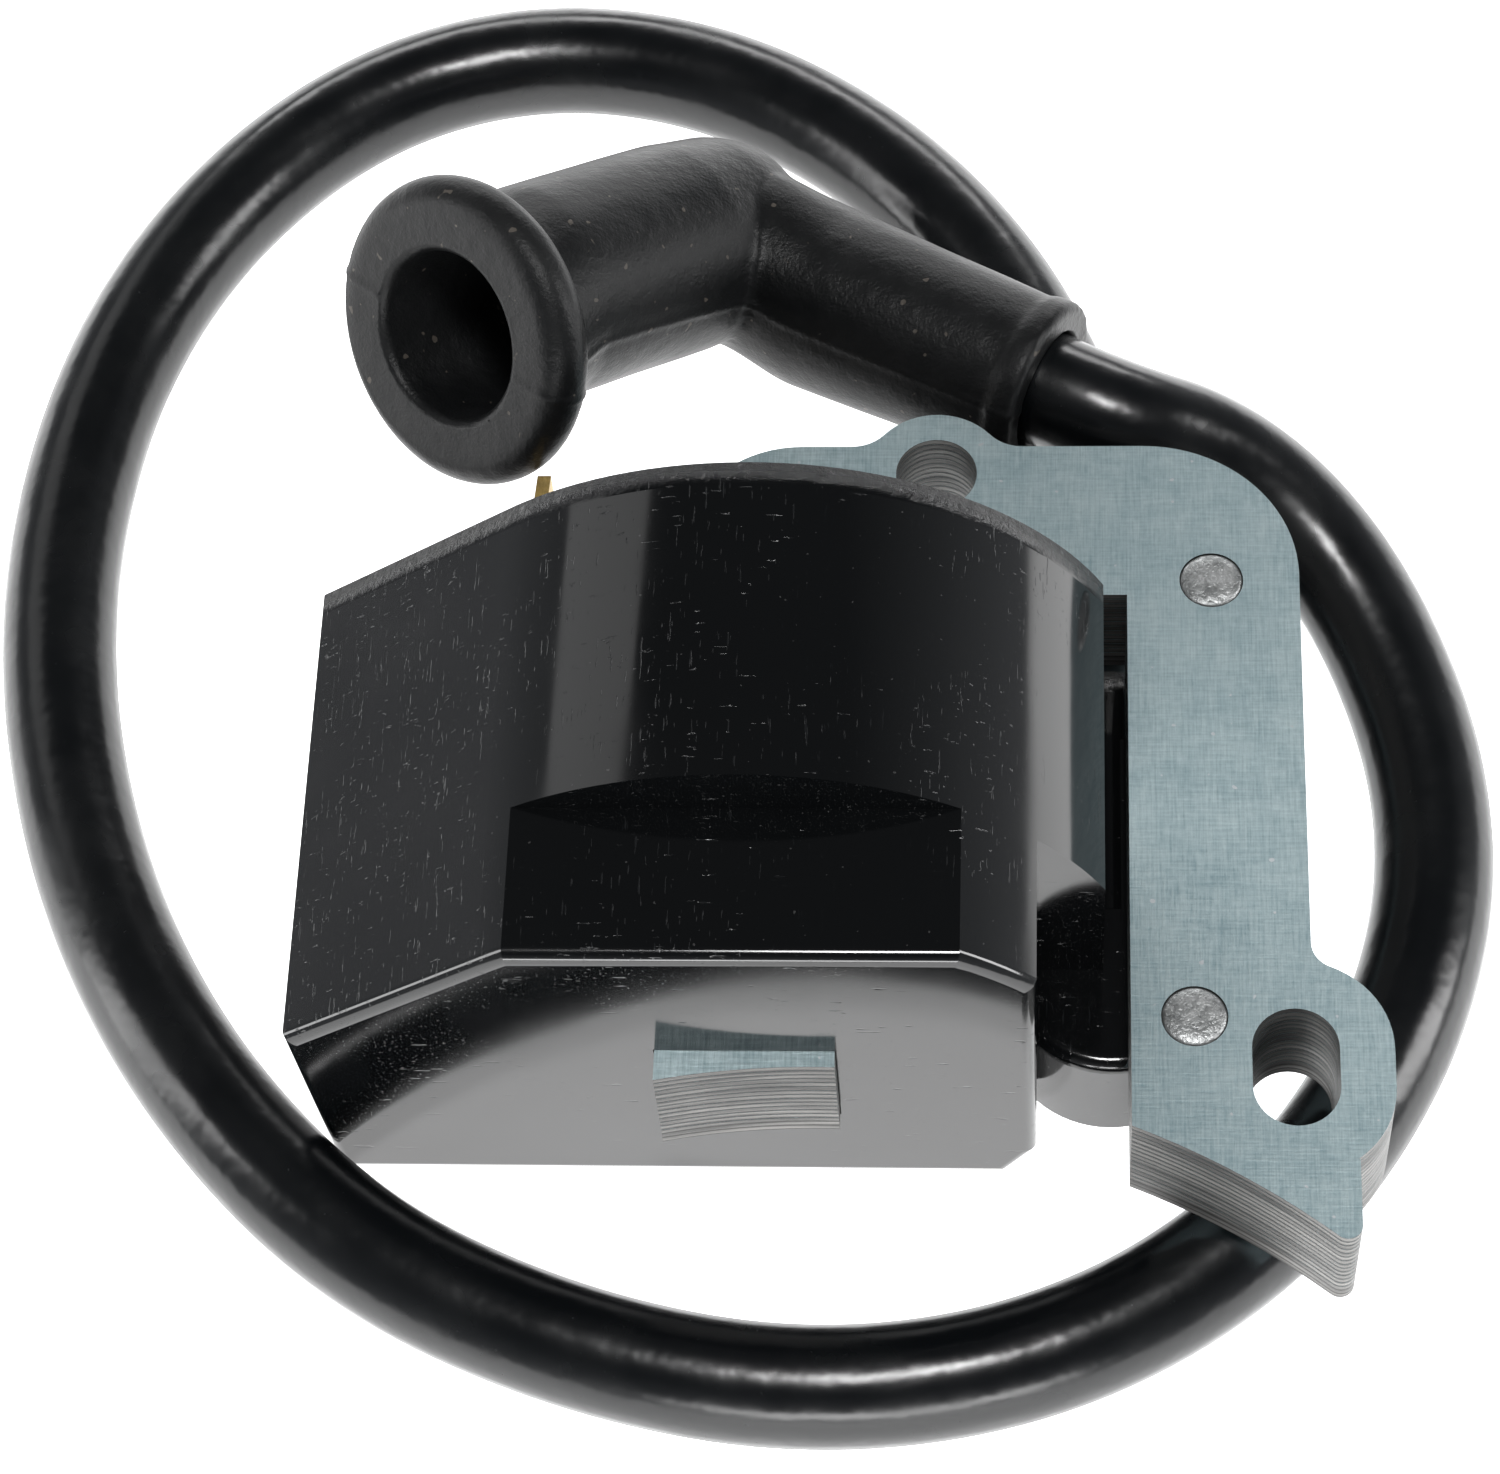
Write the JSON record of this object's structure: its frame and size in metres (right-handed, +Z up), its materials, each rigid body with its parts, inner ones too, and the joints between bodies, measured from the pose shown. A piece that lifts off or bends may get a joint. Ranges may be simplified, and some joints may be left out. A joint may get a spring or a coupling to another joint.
{
  "type": "ignition coil",
  "caption": "Small engine ignition coil: riveted laminated U core, glossy moulded coil case, looped high-tension lead and a rubber plug boot.",
  "frame": {"origin": "on the surface the coil rests on, under the middle of the coil module's box (lead and boot left out)", "axes": "+Z up, out of the resting face and along the bolt holes; +X from the case's stop-blade side towards the core's right leg; +Y away from the flywheel, along the core's legs"},
  "size_m": [0.0913, 0.1012, 0.032],
  "materials": {
    "core_steel": "flat, finely brushed, zinc grey",
    "rivet_steel": "satin, scuffed ends",
    "case_plastic": "glossy black moulding",
    "resin": "glossy black potting resin",
    "bobbin_nylon": "natural nylon",
    "copper_wire": "enamelled copper",
    "insulating_paper": "varnished paper",
    "board_laminate": "green laminate",
    "component_black": "moulded packages",
    "resistor_body": "lacquered film resistor",
    "terminal_brass": "satin brass",
    "spike_steel": "plated",
    "boot_rubber": "matte black rubber",
    "spring_steel": "plated spring wire",
    "lead_rubber": "smooth glossy black jacket"
  },
  "bodies": {
    "root": {"core_end_plate": "core_steel", "core_sheet_01": "core_steel", "core_sheet_02": "core_steel", "core_sheet_03": "core_steel", "core_sheet_04": "core_steel", "core_sheet_05": "core_steel", "core_sheet_06": "core_steel", "core_sheet_07": "core_steel", "core_sheet_08": "core_steel", "core_sheet_09": "core_steel", "core_sheet_10": "core_steel", "core_sheet_11": "core_steel", "core_sheet_12": "core_steel", "core_sheet_13": "core_steel", "core_rivet_rear": "rivet_steel", "core_rivet_front": "rivet_steel", "core_rivet_left": "rivet_steel", "coil_case": "case_plastic", "potting_resin": "resin", "primary_bobbin": "bobbin_nylon", "secondary_bobbin": "bobbin_nylon", "primary_winding": "copper_wire", "secondary_winding": "copper_wire", "insulation_wrap": "insulating_paper", "circuit_board": "board_laminate", "power_transistor": "component_black", "control_chip": "component_black", "storage_capacitor": "component_black", "blocking_diode": "component_black", "resistors": "resistor_body", "stop_terminal": "terminal_brass", "ground_strap": "terminal_brass", "high_tension_spike": "spike_steel", "high_tension_link": "copper_wire", "plug_boot": "boot_rubber", "plug_spring": "spring_steel", "lead_jacket": "lead_rubber", "lead_root": "lead_rubber", "lead_conductor": "copper_wire"}
  },
  "joints": []
}
